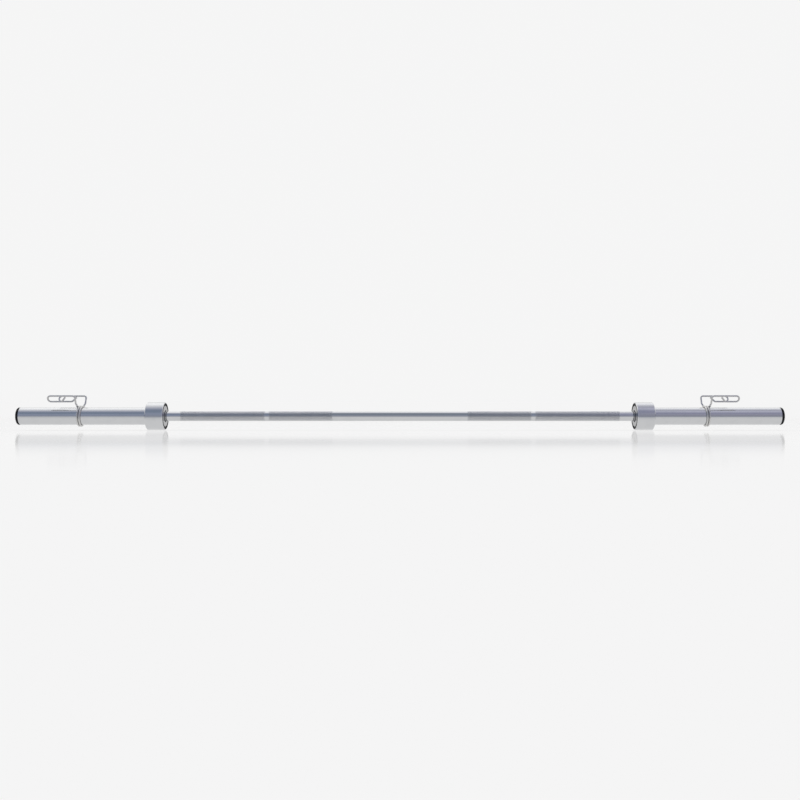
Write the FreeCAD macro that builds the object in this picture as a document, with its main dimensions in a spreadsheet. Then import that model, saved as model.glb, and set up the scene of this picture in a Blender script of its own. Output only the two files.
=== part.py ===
import FreeCAD, Part
import math
import os

import Sketcher

# Olympic barbell: a knurled shaft that turns inside two plate sleeves, each sleeve
# with a collar, bushes, a seal, an end cap and a sprung wire clip.
# Bar axis along X, Z up, the collars standing on Z = 0. All lengths in millimetres.

SIZES = [
    ("overall_length", 2200, "length over both end caps"),
    ("grip_length", 1350, "between the inner faces of the collars"),
    ("shaft_diameter", 28, "smooth shaft"),
    ("knurl_depth", 0.25, "knurling below the smooth shaft"),
    ("knurl_margin", 44.3, "smooth length between the collar and the knurling"),
    ("inner_knurl", 181.8, "length of the knurling next to the middle"),
    ("ring_mark", 12.4, "smooth ring between the knurled bands"),
    ("outer_knurl", 241.8, "length of the knurling next to the collar"),
    ("shoulder_step", 1.5, "height of the shoulder on the shaft"),
    ("journal_clearance", 3, "between the end of the shaft and the plug of the end cap"),
    ("collar_diameter", 80, "collar"),
    ("collar_width", 51, "collar along the bar"),
    ("collar_edge", 1.5, "chamfer on the collar rims"),
    ("face_rim", 3.2, "rim outside the groove in the collar face"),
    ("face_groove_width", 6.8, "width of the groove in the collar face"),
    ("face_groove_depth", 3, "depth of the groove in the collar face"),
    ("sleeve_diameter", 50, "plate sleeve"),
    ("bush_stop", 1.5, "height of the stops in the sleeve that the bushes seat on"),
    ("sleeve_edge", 0.8, "chamfer at the outer end of the sleeve"),
    ("bush_wall", 5, "wall of the bushes"),
    ("bush_clearance", 0.05, "radial running clearance in the bushes"),
    ("bush_length", 40, "inner bush"),
    ("outer_bush_length", 30, "outer bush"),
    ("bush_edge", 0.6, "chamfer on the bush ends"),
    ("grease_width", 3, "grease groove in the bush bore"),
    ("grease_depth", 0.8, "depth of the grease groove"),
    ("washer_clearance", 1, "between the thrust washers and the bush seats"),
    ("washer_thickness", 2, "thrust washer"),
    ("end_float", 0.2, "axial play at each thrust face"),
    ("ring_groove_depth", 1, "depth of the snap ring groove"),
    ("ring_wall", 3.45, "width of the snap ring"),
    ("ring_thickness", 2, "snap ring"),
    ("ring_gap", 5, "opening of the snap ring"),
    ("ring_eye", 2, "plier hole in the snap ring"),
    ("ring_lug", 6, "rounded lug round the plier hole"),
    ("seal_clearance", 0.3, "between the seal lip and the shaft"),
    ("seal_inset", 0.5, "seal below the collar face"),
    ("seal_thickness", 6, "dust seal"),
    ("seal_back", 1.5, "collar lip behind the seal"),
    ("cap_flange", 7.8, "visible thickness of the end cap"),
    ("cap_round", 4.5, "rounding of the end cap"),
    ("cap_seat_step", 1.5, "seat of the plug outside the bush seat"),
    ("cap_plug_length", 14, "plug inside the sleeve"),
    ("cap_wall", 3, "wall of the hollow plug"),
    ("cap_relief", 0.4, "plug body below the tips of its ribs"),
    ("cap_ribs", 8, "number of ribs on the plug"),
    ("cap_rib_width", 3, "width of a plug rib"),
    ("wire_diameter", 5, "clip wire"),
    ("coil_clearance", 0.3, "radial gap between the coil and the sleeve"),
    ("coil_pitch", 5.9, "advance of the coil for one turn"),
    ("coil_turns", 2, "whole turns between the two handles"),
    ("handle_angle", 23, "each handle from the vertical, in degrees"),
    ("root_radius", 5.5, "bend where the coil turns into a handle"),
    ("post_set", 2.56, "post beyond the end of the coil, along the bar"),
    ("set_rise", 8, "height of the double bend that sets the post out"),
    ("handle_rise", 35.2, "upper leg of a handle above the coil wire"),
    ("handle_drop", 17.3, "between the upper and the lower leg"),
    ("handle_length", 77.8, "from the post to the end of the loop"),
    ("handle_bend", 7, "bend at the top of the post"),
    ("tail_start", 38.8, "from the post to the bend of the tail"),
    ("tail_angle", 50, "slope of the tail in degrees"),
    ("tail_bend", 6, "bend of the tail"),
    ("tail_gap", 5.5, "tail end below the upper leg"),
    ("left_clip_position", 238.46, "rear end of the left coil from the collar face"),
    ("right_clip_position", 200.96, "rear end of the right coil from the collar face"),
]

document = FreeCAD.newDocument("olympic_barbell")
sheet = document.addObject("Spreadsheet::Sheet", "Sizes")
for number, (alias, value, note) in enumerate(SIZES, start=1):
    sheet.set("A%d" % number, note)
    sheet.set("B%d" % number, str(value))
    sheet.setAlias("B%d" % number, alias)
document.recompute()


class Size:
    """A length with its number and the formula that binds it to the sheet."""

    def __init__(self, value, text):
        self.value = float(value)
        self.text = text

    def __add__(self, other):
        other = as_size(other)
        return Size(self.value + other.value, "(%s + %s)" % (self.text, other.text))

    def __sub__(self, other):
        other = as_size(other)
        return Size(self.value - other.value, "(%s - %s)" % (self.text, other.text))

    def __mul__(self, factor):
        return Size(self.value * factor, "(%s * %s)" % (self.text, factor))

    def __truediv__(self, factor):
        return Size(self.value / factor, "(%s / %s)" % (self.text, factor))


def as_size(value):
    if isinstance(value, Size):
        return value
    return Size(value, str(value))


def size(alias):
    return Size(sheet.get(alias), "Sizes.%s" % alias)


ZERO = Size(0, "0")
HALF_GRIP = size("grip_length") / 2
AXIS_HEIGHT = size("collar_diameter") / 2
SIDES = {"left": -1, "right": 1}


def origin_feature(body, role):
    for feature in body.Origin.OriginFeatures:
        if feature.Role == role:
            return feature
    raise ValueError(role)


def new_body(label):
    body = document.addObject("PartDesign::Body", label)
    body.Label = label
    return body


def new_sketch(body, name, role):
    sketch = body.newObject("Sketcher::SketchObject", name)
    sketch.AttachmentSupport = [(origin_feature(body, role), "")]
    sketch.MapMode = "FlatFace"
    return sketch


def bind(sketch, constraint, formula):
    index = sketch.addConstraint(constraint)
    sketch.setExpression("Constraints[%d]" % index, formula.text)


def pin_point(sketch, geometry, end, x, y):
    """Holds one point of a sketch at bound distances from the sketch origin."""
    if x.value == 0:
        sketch.addConstraint(Sketcher.Constraint("PointOnObject", geometry, end, -2))
    else:
        bind(sketch, Sketcher.Constraint("DistanceX", -1, 1, geometry, end, x.value), x)
    if y.value == 0:
        sketch.addConstraint(Sketcher.Constraint("PointOnObject", geometry, end, -1))
    else:
        bind(sketch, Sketcher.Constraint("DistanceY", -1, 1, geometry, end, y.value), y)


def outline(sketch, points):
    """Draws a closed outline of straight lines through bound points."""
    count = len(points)
    for index in range(count):
        x0, y0 = points[index]
        x1, y1 = points[(index + 1) % count]
        start = FreeCAD.Vector(x0.value, y0.value, 0)
        stop = FreeCAD.Vector(x1.value, y1.value, 0)
        sketch.addGeometry(Part.LineSegment(start, stop), False)
    for index in range(count):
        joined = Sketcher.Constraint("Coincident", index, 2, (index + 1) % count, 1)
        sketch.addConstraint(joined)
    for index, (x, y) in enumerate(points):
        pin_point(sketch, index, 1, x, y)


def circle(sketch, x, y, diameter):
    """Draws a bound circle and returns its geometry index."""
    centre = FreeCAD.Vector(x.value, y.value, 0)
    shape = Part.Circle(centre, FreeCAD.Vector(0, 0, 1), diameter.value / 2)
    index = sketch.addGeometry(shape, False)
    pin_point(sketch, index, 3, x, y)
    bind(sketch, Sketcher.Constraint("Diameter", index, diameter.value), diameter)
    return index


def turn(body, points):
    """Turns an outline of (along, radius) points about the bar axis."""
    sketch = new_sketch(body, body.Name + "_profile", "XY_Plane")
    outline(sketch, points)
    feature = body.newObject("PartDesign::Revolution", body.Name + "_turning")
    feature.Profile = sketch
    feature.ReferenceAxis = (sketch, ["H_Axis"])
    feature.Angle = 360
    return feature


def place_on_side(body, side, offset=ZERO):
    """Puts a piece drawn outward from the collar face on one end of the bar."""
    if side == "left":
        half_turn = FreeCAD.Rotation(FreeCAD.Vector(0, 0, 1), 180)
        body.Placement = FreeCAD.Placement(FreeCAD.Vector(), half_turn)
    sign = SIDES[side]
    along = HALF_GRIP + offset
    body.setExpression("Placement.Base.x", "%d * %s" % (sign, along.text))
    body.setExpression("Placement.Base.z", AXIS_HEIGHT.text)


def radius(alias):
    return size(alias) / 2


# Radii that several pieces share.
SHAFT = radius("shaft_diameter")
JOURNAL = SHAFT - size("shoulder_step")
BUSH_BORE = JOURNAL + size("bush_clearance")
BUSH_SEAT = JOURNAL + size("bush_wall")
PLUG_BORE = BUSH_SEAT + size("cap_seat_step")
RING_BED = JOURNAL - size("ring_groove_depth")
SLEEVE = radius("sleeve_diameter")
COLLAR = radius("collar_diameter")

# Stations along one end of the bar, counted outward from the inner face of the collar.
SHOULDER = size("seal_inset") + size("seal_thickness") + size("seal_back")
INNER_BUSH_START = SHOULDER + size("washer_thickness") + size("end_float")
INNER_BUSH_END = INNER_BUSH_START + size("bush_length")
CAP_FACE = (size("overall_length") - size("grip_length")) / 2 - size("cap_flange")
PLUG_START = CAP_FACE - size("cap_plug_length")
JOURNAL_END = PLUG_START - size("journal_clearance")
RING_END = JOURNAL_END - size("ring_thickness") * 3
RING_START = RING_END - size("ring_thickness")
OUTER_WASHER_END = RING_START - size("end_float")
OUTER_WASHER_START = OUTER_WASHER_END - size("washer_thickness")
OUTER_BUSH_END = OUTER_WASHER_START - size("end_float")
OUTER_BUSH_START = OUTER_BUSH_END - size("outer_bush_length")
PLUG_SEAT = OUTER_BUSH_END


def make_shaft():
    body = new_body("shaft")
    ramp = size("knurl_depth")
    root = SHAFT - ramp
    ring_play = size("end_float") / 2
    outer_stop = HALF_GRIP - size("knurl_margin")
    outer_start = outer_stop - size("outer_knurl")
    inner_stop = outer_start - size("ring_mark")
    inner_start = inner_stop - size("inner_knurl")
    stations = [
        (ZERO, ZERO),
        (ZERO, SHAFT),
    ]
    for start, stop in ((inner_start, inner_stop), (outer_start, outer_stop)):
        stations.append((start, SHAFT))
        stations.append((start + ramp, root))
        stations.append((stop - ramp, root))
        stations.append((stop, SHAFT))
    shoulder = HALF_GRIP + SHOULDER
    chamfer = size("bush_edge")
    stations.append((shoulder - chamfer, SHAFT))
    stations.append((shoulder, SHAFT - chamfer))
    stations.append((shoulder, JOURNAL))
    stations.append((HALF_GRIP + RING_START - ring_play, JOURNAL))
    stations.append((HALF_GRIP + RING_START - ring_play, RING_BED))
    stations.append((HALF_GRIP + RING_END + ring_play, RING_BED))
    stations.append((HALF_GRIP + RING_END + ring_play, JOURNAL))
    stations.append((HALF_GRIP + JOURNAL_END - chamfer * 2, JOURNAL))
    stations.append((HALF_GRIP + JOURNAL_END, JOURNAL - chamfer * 2))
    stations.append((HALF_GRIP + JOURNAL_END, ZERO))
    half = turn(body, stations)
    document.recompute()
    mirrored = body.newObject("PartDesign::Mirrored", "shaft_both_ends")
    mirrored.Originals = [half]
    mirrored.MirrorPlane = (origin_feature(body, "YZ_Plane"), [""])
    body.Tip = mirrored
    body.setExpression("Placement.Base.z", AXIS_HEIGHT.text)
    return body


def make_sleeve(side):
    body = new_body(side + "_sleeve")
    bore = BUSH_SEAT - size("bush_stop")
    edge = size("sleeve_edge")
    turn(body, [
        (SHOULDER, BUSH_SEAT),
        (SHOULDER, SLEEVE),
        (CAP_FACE - edge, SLEEVE),
        (CAP_FACE, SLEEVE - edge),
        (CAP_FACE, PLUG_BORE),
        (PLUG_SEAT, PLUG_BORE),
        (PLUG_SEAT, BUSH_SEAT),
        (OUTER_BUSH_START, BUSH_SEAT),
        (OUTER_BUSH_START, bore),
        (INNER_BUSH_END, bore),
        (INNER_BUSH_END, BUSH_SEAT),
    ])
    place_on_side(body, side)
    return body


def make_collar(side):
    body = new_body(side + "_collar")
    width = size("collar_width")
    edge = size("collar_edge")
    groove_out = COLLAR - size("face_rim")
    groove_in = groove_out - size("face_groove_width")
    depth = size("face_groove_depth")
    taper = edge / 2
    turn(body, [
        (ZERO, BUSH_SEAT),
        (ZERO, groove_in - taper),
        (taper, groove_in),
        (depth, groove_in),
        (depth, groove_out),
        (taper, groove_out),
        (ZERO, groove_out + taper),
        (ZERO, COLLAR - edge),
        (edge, COLLAR),
        (width - edge, COLLAR),
        (width, COLLAR - edge),
        (width, SLEEVE),
        (SHOULDER, SLEEVE),
        (SHOULDER, BUSH_SEAT),
    ])
    place_on_side(body, side)
    return body


def make_bush(label, side, start, length):
    body = new_body(label)
    outer = BUSH_SEAT
    bore = BUSH_BORE
    edge = size("bush_edge")
    half_groove = size("grease_width") / 2
    depth = size("grease_depth")
    middle = start + length / 2
    stop = start + length
    turn(body, [
        (start, bore + edge),
        (start, outer - edge),
        (start + edge, outer),
        (stop - edge, outer),
        (stop, outer - edge),
        (stop, bore + edge),
        (stop - edge, bore),
        (middle + half_groove, bore),
        (middle + half_groove, bore + depth),
        (middle - half_groove, bore + depth),
        (middle - half_groove, bore),
        (start + edge, bore),
    ])
    place_on_side(body, side)
    return body


def make_washer(label, side, start):
    body = new_body(label)
    stop = start + size("washer_thickness")
    bore = BUSH_BORE
    outer = BUSH_SEAT - size("washer_clearance")
    edge = size("washer_thickness") / 8
    turn(body, [
        (start, bore),
        (start, outer - edge),
        (start + edge, outer),
        (stop - edge, outer),
        (stop, outer - edge),
        (stop, bore),
    ])
    place_on_side(body, side)
    return body


def make_snap_ring(side):
    """A split ring with two lugs, each with a plier hole."""
    body = new_body(side + "_snap_ring")
    bore = RING_BED + size("bush_clearance")
    outer = bore + size("ring_wall")
    thickness = size("ring_thickness")
    ring = new_sketch(body, body.Name + "_ring", "YZ_Plane")
    circle(ring, ZERO, ZERO, outer * 2)
    circle(ring, ZERO, ZERO, bore * 2)
    pad = body.newObject("PartDesign::Pad", body.Name + "_pad")
    pad.Profile = ring
    pad.setExpression("Length", thickness.text)
    lug_height = outer - size("ring_lug") / 8
    lug_side = size("ring_gap") / 2 + size("ring_lug") / 2
    for index, sign in enumerate((1, -1)):
        lug = new_sketch(body, "%s_lug_%d" % (body.Name, index), "YZ_Plane")
        circle(lug, lug_side * sign, lug_height, size("ring_lug"))
        lug_pad = body.newObject("PartDesign::Pad", "%s_lug_pad_%d" % (body.Name, index))
        lug_pad.Profile = lug
        lug_pad.setExpression("Length", thickness.text)
    document.recompute()
    opening = new_sketch(body, body.Name + "_opening", "YZ_Plane")
    half_gap = size("ring_gap") / 2
    outline(opening, [
        (half_gap * -1, bore / 2),
        (half_gap, bore / 2),
        (half_gap, outer * 2),
        (half_gap * -1, outer * 2),
    ])
    for index, sign in enumerate((1, -1)):
        circle(opening, lug_side * sign, lug_height, size("ring_eye"))
    cut = body.newObject("PartDesign::Pocket", body.Name + "_cut")
    cut.Profile = opening
    cut.Type = "ThroughAll"
    cut.Midplane = True
    place_on_side(body, side, RING_START)
    return body


def make_seal(side):
    """A rubber ring in the mouth of the collar, with a thin lip towards the shaft."""
    body = new_body(side + "_dust_seal")
    start = size("seal_inset")
    stop = start + size("seal_thickness")
    outer = BUSH_SEAT
    lip = SHAFT + size("seal_clearance")
    step = size("seal_thickness") / 4
    turn(body, [
        (start, lip + step / 4),
        (start, outer - step / 3),
        (start + step / 3, outer),
        (stop, outer),
        (stop, lip + step),
        (start + step * 2, lip + step),
        (start + step, lip),
        (start + step / 2, lip),
    ])
    place_on_side(body, side)
    return body


def make_end_cap(side):
    """A rounded disc with a hollow ribbed plug."""
    body = new_body(side + "_end_cap")
    outer = SLEEVE
    face = CAP_FACE + size("cap_flange")
    tip = PLUG_BORE
    plug = tip - size("cap_relief")
    hollow = plug - size("cap_wall")
    edge = size("sleeve_edge")
    floor = CAP_FACE + size("cap_flange") - size("cap_wall")
    turning = turn(body, [
        (PLUG_START, hollow),
        (PLUG_START, plug - edge),
        (PLUG_START + edge, plug),
        (CAP_FACE, plug),
        (CAP_FACE, outer - edge),
        (CAP_FACE + edge, outer),
        (face, outer),
        (face, ZERO),
        (floor, ZERO),
        (floor, hollow),
    ])
    document.recompute()
    rim = None
    for index, edge_shape in enumerate(turning.Shape.Edges, start=1):
        box = edge_shape.BoundBox
        on_face = abs(box.XMin - face.value) < 1e-4 and abs(box.XMax - face.value) < 1e-4
        if on_face and abs(box.YMax - outer.value) < 1e-4:
            rim = "Edge%d" % index
    rounding = body.newObject("PartDesign::Fillet", body.Name + "_rounding")
    rounding.Base = (turning, [rim])
    rounding.setExpression("Radius", size("cap_round").text)
    document.recompute()
    rib_outline = new_sketch(body, body.Name + "_rib_outline", "YZ_Plane")
    half = size("cap_rib_width") / 2
    outline(rib_outline, [
        (half * -1, plug - size("cap_wall") / 2),
        (half, plug - size("cap_wall") / 2),
        (half, tip),
        (half * -1, tip),
    ])
    rib_outline.setExpression("AttachmentOffset.Base.z", (PLUG_START + edge * 2).text)
    rib = body.newObject("PartDesign::Pad", body.Name + "_rib")
    rib.Profile = rib_outline
    rib.setExpression("Length", (size("cap_plug_length") - edge).text)
    document.recompute()
    ribs = body.newObject("PartDesign::PolarPattern", body.Name + "_ribs")
    ribs.Originals = [rib]
    ribs.Axis = (origin_feature(body, "X_Axis"), [""])
    ribs.Angle = 360
    ribs.setExpression("Occurrences", size("cap_ribs").text)
    body.Tip = ribs
    place_on_side(body, side)
    return body


# The clip wire. A clip is drawn outward from the rear end of its coil, about the bar axis; an angle
# is counted from the top towards the front (-Y).
def around(x, angle, distance):
    return FreeCAD.Vector(x, -distance * math.sin(angle), distance * math.cos(angle))


def arc_from(start, direction, stop):
    """The arc that leaves start along direction and ends at stop."""
    chord = stop.sub(start)
    length = chord.Length
    along = chord.dot(direction)
    across = chord.sub(direction * along)
    if across.Length < 1e-9 * length:
        return Part.LineSegment(start, stop).toShape()
    across.normalize()
    half_turn = math.acos(max(-1.0, min(1.0, along / length)))
    bend = length / (2 * math.sin(half_turn))
    centre = start.add(across * bend)
    middle = centre.sub(across * (bend * math.cos(half_turn)))
    middle = middle.add(direction * (bend * math.sin(half_turn)))
    return Part.Arc(start, middle, stop).toShape()


def biarc(start, direction, stop, out_direction):
    """Two arcs from start to stop that keep both end directions and meet smoothly."""
    chord = stop.sub(start)
    both = direction.add(out_direction)
    slope = 2 * (1 - direction.dot(out_direction))
    dot = chord.dot(both)
    if slope < 1e-12:
        reach = chord.dot(chord) / (4 * chord.dot(out_direction))
    else:
        root = math.sqrt(dot * dot + slope * chord.dot(chord))
        reach = (root - dot) / slope
    meeting = start.add(direction * reach).add(stop).sub(out_direction * reach) * 0.5
    first = arc_from(start, direction, meeting)
    turned = stop.sub(out_direction * reach).sub(meeting)
    turned.normalize()
    return [first, arc_from(meeting, turned, stop)]


class ClipPath:
    """Centre lines of one clip, with a sign for the side of the bar."""

    def __init__(self, sign):
        self.sign = sign
        self.wire = sheet.get("wire_diameter") / 2
        inner = sheet.get("sleeve_diameter") / 2 + sheet.get("coil_clearance")
        self.coil = inner + self.wire
        self.pitch = sheet.get("coil_pitch")
        self.lean = math.radians(sheet.get("handle_angle"))
        self.root = sheet.get("root_radius")
        # the coil ends where a bend of this radius can lead from it into the post
        self.lead = math.asin(self.root / (self.coil + self.root))
        self.first_angle = -self.lean
        self.last_angle = self.lean + 2 * math.pi * round(sheet.get("coil_turns"))

    def side(self, vector):
        return FreeCAD.Vector(self.sign * vector.x, vector.y, vector.z)

    def advance(self, angle):
        return self.pitch * (angle - self.first_angle) / (2 * math.pi)

    def point(self, angle):
        return self.side(around(self.advance(angle), angle, self.coil))

    def direction(self, angle):
        along = self.pitch / (2 * math.pi)
        across = -self.coil * math.cos(angle)
        up = -self.coil * math.sin(angle)
        vector = self.side(FreeCAD.Vector(along, across, up))
        vector.normalize()
        return vector

    def coil_edges(self):
        start = self.first_angle + self.lead
        stop = self.last_angle - self.lead
        quarters = max(4, round((stop - start) / (math.pi / 2)))
        edges = []
        for index in range(quarters):
            low = start + (stop - start) * index / quarters
            high = start + (stop - start) * (index + 1) / quarters
            edges += biarc(
                self.point(low), self.direction(low), self.point(high), self.direction(high)
            )
        return edges

    def handle_edges(self, front):
        """From the coil out through the post and round the loop to the cut end."""
        angle = self.last_angle if front else self.first_angle
        cut = angle - self.lead if front else angle + self.lead
        end = self.advance(angle)
        post = end + sheet.get("post_set") * (1 if front else -1)
        height = self.coil + sheet.get("handle_rise")
        low = height - sheet.get("handle_drop")
        bend = sheet.get("handle_bend")
        loop = sheet.get("handle_drop") / 2
        turn_at = sheet.get("handle_length") - loop
        slope = math.radians(sheet.get("tail_angle"))
        corner = sheet.get("tail_start")
        tangent = sheet.get("tail_bend") * math.tan(slope / 2)
        tail_top = height - sheet.get("tail_gap")
        rise = tail_top - low

        def at(x, distance):
            return self.side(around(post + x, angle, distance))

        def along(x, distance):
            vector = self.side(around(x, angle, distance))
            vector.normalize()
            return vector

        radial = along(0, 1)
        outward = along(1, 0)
        inward = along(-1, 0)
        tail = along(-math.cos(slope), math.sin(slope))
        root_top = math.sqrt((self.coil + self.root) ** 2 - self.root ** 2)
        foot = root_top + sheet.get("set_rise")
        leaving = self.direction(cut) * (1 if front else -1)
        tail_foot = at(corner - tangent * math.cos(slope), low + tangent * math.sin(slope))
        tail_end = at(corner - rise / math.tan(slope), tail_top)
        edges = biarc(self.point(cut), leaving, at(end - post, root_top), radial)
        edges += biarc(at(end - post, root_top), radial, at(0, foot), radial)
        edges.append(Part.LineSegment(at(0, foot), at(0, height - bend)).toShape())
        edges.append(arc_from(at(0, height - bend), radial, at(bend, height)))
        edges.append(Part.LineSegment(at(bend, height), at(turn_at, height)).toShape())
        edges.append(arc_from(at(turn_at, height), outward, at(turn_at + loop, height - loop)))
        down = radial * -1
        edges.append(arc_from(at(turn_at + loop, height - loop), down, at(turn_at, low)))
        edges.append(Part.LineSegment(at(turn_at, low), at(corner + tangent, low)).toShape())
        edges.append(arc_from(at(corner + tangent, low), inward, tail_foot))
        edges.append(Part.LineSegment(tail_foot, tail_end).toShape())
        return edges


def sweep(edges, wire_radius):
    spine = Part.Wire(edges)
    first = spine.OrderedEdges[0]
    start = first.valueAt(first.FirstParameter)
    tangent = first.tangentAt(first.FirstParameter)
    profile = Part.Wire([Part.Circle(start, tangent, wire_radius).toShape()])
    shell = Part.BRepOffsetAPI.MakePipeShell(spine)
    shell.add(profile)
    shell.build()
    shell.makeSolid()
    return shell.shape()


def least_gap(edges, wire_radius):
    """Least distance between stretches of one wire that don't follow each other."""
    points = []
    travelled = 0.0
    for edge in edges:
        count = max(4, int(edge.Length / 0.8))
        for index in range(count):
            share = edge.FirstParameter
            share += (edge.LastParameter - edge.FirstParameter) * index / count
            points.append((travelled + edge.Length * index / count, edge.valueAt(share)))
        travelled += edge.Length
    least = travelled
    apart = 6 * wire_radius
    for index, (here, point) in enumerate(points):
        for there, other in points[index + 1:]:
            if there - here > apart:
                least = min(least, point.distanceToPoint(other))
    return least - 2 * wire_radius


def make_clip(side):
    path = ClipPath(SIDES[side])
    position = HALF_GRIP + size(side + "_clip_position")
    pieces = {
        "clip_coil": path.coil_edges(),
        "clip_front_handle": path.handle_edges(True),
        "clip_rear_handle": path.handle_edges(False),
    }
    made = []
    for name, edges in pieces.items():
        label = "%s_%s" % (side, name)
        gap = least_gap(edges, path.wire)
        print("%s: least gap of the wire to itself %.2f mm" % (label, gap))
        if gap < 0.4:
            raise ValueError("%s touches itself" % label)
        solid = document.addObject("Part::Feature", label)
        solid.Label = label
        solid.Shape = sweep(edges, path.wire)
        solid.setExpression("Placement.Base.x", "%d * %s" % (SIDES[side], position.text))
        solid.setExpression("Placement.Base.z", AXIS_HEIGHT.text)
        made.append(solid)
    return made


subparts = [make_shaft()]
for side in SIDES:
    subparts.append(make_sleeve(side))
    subparts.append(make_collar(side))
    subparts.append(
        make_bush(side + "_inner_bush", side, INNER_BUSH_START, size("bush_length"))
    )
    subparts.append(
        make_bush(side + "_outer_bush", side, OUTER_BUSH_START, size("outer_bush_length"))
    )
    subparts.append(make_washer(side + "_inner_thrust_washer", side, SHOULDER))
    subparts.append(make_washer(side + "_outer_thrust_washer", side, OUTER_WASHER_START))
    subparts.append(make_snap_ring(side))
    subparts.append(make_seal(side))
    subparts.append(make_end_cap(side))
    subparts += make_clip(side)
document.recompute()

for item in document.Objects:
    if "Invalid" in item.State or "Error" in item.State:
        raise RuntimeError("%s did not build: %s" % (item.Label, item.State))

os.makedirs("parts", exist_ok=True)
for subpart in subparts:
    shape = subpart.Shape
    if shape.isNull() or not shape.isValid() or len(shape.Solids) != 1:
        raise RuntimeError("%s has no valid solid" % subpart.Label)
    shape.exportStep("parts/%s.step" % subpart.Label)
    print("%s: %.1f cm3" % (subpart.Label, shape.Volume / 1000))
print("%d sub-parts written" % len(subparts))
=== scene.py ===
"""Looks of an olympic bar with two spring clips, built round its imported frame.

The bar lies along X on its two collars and the viewer stands on the -Y side. Lengths are in metres
and angles in radians, unless a name says otherwise.
"""

import logging
import math
from dataclasses import dataclass
from enum import Enum

import bmesh
import bpy
from bmesh.types import BMEdge, BMesh, BMVert
from bpy.types import Material, Node, NodeSocket, Object, ShaderNodeTree, World
from mathutils import Matrix, Vector


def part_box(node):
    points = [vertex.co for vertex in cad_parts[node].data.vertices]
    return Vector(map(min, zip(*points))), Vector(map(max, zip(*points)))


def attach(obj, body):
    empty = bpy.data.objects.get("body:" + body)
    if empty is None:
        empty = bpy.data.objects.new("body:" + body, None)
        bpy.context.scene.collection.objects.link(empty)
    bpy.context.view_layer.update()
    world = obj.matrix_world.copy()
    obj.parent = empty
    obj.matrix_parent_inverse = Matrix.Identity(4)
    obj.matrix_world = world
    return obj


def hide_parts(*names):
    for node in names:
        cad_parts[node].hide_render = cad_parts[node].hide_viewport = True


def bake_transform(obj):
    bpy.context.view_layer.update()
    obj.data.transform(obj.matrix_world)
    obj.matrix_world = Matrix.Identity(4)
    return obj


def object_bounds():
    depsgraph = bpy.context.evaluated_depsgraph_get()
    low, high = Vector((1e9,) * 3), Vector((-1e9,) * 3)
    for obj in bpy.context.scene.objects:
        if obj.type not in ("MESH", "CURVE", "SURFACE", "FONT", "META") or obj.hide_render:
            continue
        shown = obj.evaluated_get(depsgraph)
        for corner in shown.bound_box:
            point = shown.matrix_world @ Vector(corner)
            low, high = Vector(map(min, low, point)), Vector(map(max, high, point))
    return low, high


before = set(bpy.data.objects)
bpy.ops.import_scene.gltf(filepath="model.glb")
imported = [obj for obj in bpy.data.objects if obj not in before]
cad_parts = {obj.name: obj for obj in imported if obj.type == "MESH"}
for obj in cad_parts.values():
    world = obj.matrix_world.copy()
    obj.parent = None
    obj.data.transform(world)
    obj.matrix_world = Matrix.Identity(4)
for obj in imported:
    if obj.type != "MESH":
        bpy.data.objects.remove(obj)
CAD_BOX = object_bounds()

LOG = logging.getLogger("barbell")

Colour = tuple[float, float, float]
Value = NodeSocket | float | tuple
Sockets = bpy.types.bpy_prop_collection

ALONG_BAR = Vector((1.0, 0.0, 0.0))
UP = Vector((0.0, 0.0, 1.0))
NO_SHIFT = Vector((0.0, 0.0, 0.0))
KNURL_GROOVE_RADIUS = 0.0138


def bar_axis() -> Vector:
    """Returns the point of the bar's axis that lies half way along the bar."""
    low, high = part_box("shaft")
    return (low + high) / 2


AXIS = bar_axis()


def outwards_at(angle: float) -> Vector:
    """Unit vector away from the bar's axis, at an angle from the top towards the viewer."""
    return Vector((0.0, -math.sin(angle), math.cos(angle)))


class Side(Enum):
    """The two ends of the bar; a value starts the names of that end's pieces."""

    LEFT = "left"
    RIGHT = "right"

    @property
    def outward(self) -> float:
        """Sign of X on the way from the middle of the bar to this end."""
        return -1.0 if self is Side.LEFT else 1.0

    def node(self, piece: str) -> str:
        """Name of a piece at this end of the bar."""
        return f"{self.value}_{piece}"


class Handle(Enum):
    """The two handles of a clip; a value names the pieces that belong to it."""

    FRONT = "front"
    REAR = "rear"

    @property
    def winding(self) -> float:
        """Sign of the winding angle on the way from the meeting point in the coil to this handle."""
        return 1.0 if self is Handle.FRONT else -1.0


class Slot(Enum):
    """The record's material slots."""

    SHAFT_CHROME = "shaft_chrome"
    SLEEVE_CHROME = "sleeve_chrome"
    BRONZE = "bronze"
    STEEL = "steel"
    SPRING_WIRE = "spring_wire"
    RUBBER = "rubber"
    BLACK_PLASTIC = "black_plastic"


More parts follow.
